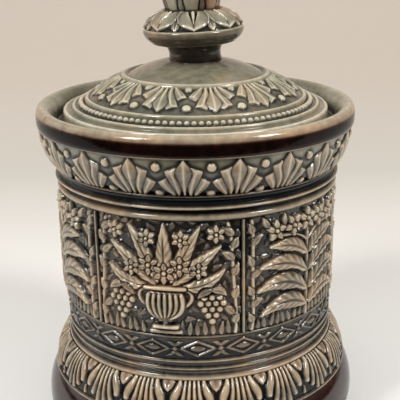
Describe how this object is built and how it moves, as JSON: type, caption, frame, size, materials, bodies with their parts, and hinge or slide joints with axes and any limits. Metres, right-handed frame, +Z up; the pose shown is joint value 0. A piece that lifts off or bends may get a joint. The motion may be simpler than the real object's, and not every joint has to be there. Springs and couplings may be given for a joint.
{
  "type": "tobacco jar",
  "caption": "Glazed stoneware tobacco jar with relief bands and panels, a rolled foot, a flared rim and a lift-off domed lid with a bud finial.",
  "frame": {"origin": "centre of the flat base, on the surface that the jar stands on", "axes": "+Z up through the finial, -Y towards the viewer in the picture, +X to the viewer's right"},
  "size_m": [0.1448, 0.1456, 0.2164],
  "materials": {
    "wall_glaze": "glossy navy-black glaze over stoneware, buff where it thins on edges",
    "relief_glaze": "glossy clear glaze, buff on raised relief and navy-grey where it pools",
    "foot_glaze": "glossy treacle-brown glaze",
    "lid_glaze": "glossy olive-grey glaze, buff where it thins on edges",
    "finial_glaze": "glossy grey-green glaze with brown pooled in the hollows"
  },
  "bodies": {
    "jar": {"jar_body": "wall_glaze", "foot_ring": "foot_glaze", "foot_leaf_band": "relief_glaze", "ornament_band": "relief_glaze", "frieze_panel_1": "relief_glaze", "frieze_panel_2": "relief_glaze", "frieze_panel_3": "relief_glaze", "frieze_panel_4": "relief_glaze", "frieze_panel_5": "relief_glaze", "frieze_panel_6": "relief_glaze", "frieze_bar_1": "relief_glaze", "frieze_bar_2": "relief_glaze", "frieze_bar_3": "relief_glaze", "frieze_bar_4": "relief_glaze", "frieze_bar_5": "relief_glaze", "frieze_bar_6": "relief_glaze", "collar_palmette_band": "relief_glaze"},
    "lid": {"lid": "lid_glaze", "lid_palmette_band": "lid_glaze", "lid_bead_ring": "lid_glaze", "finial_stem": "finial_glaze", "finial_calyx": "finial_glaze", "finial_bud": "finial_glaze"}
  },
  "joints": [
    {"name": "lid_lift", "type": "slide", "parent": "jar", "child": "lid", "axis": [0, 0, 1], "range_m": [0, 0.08]}
  ]
}
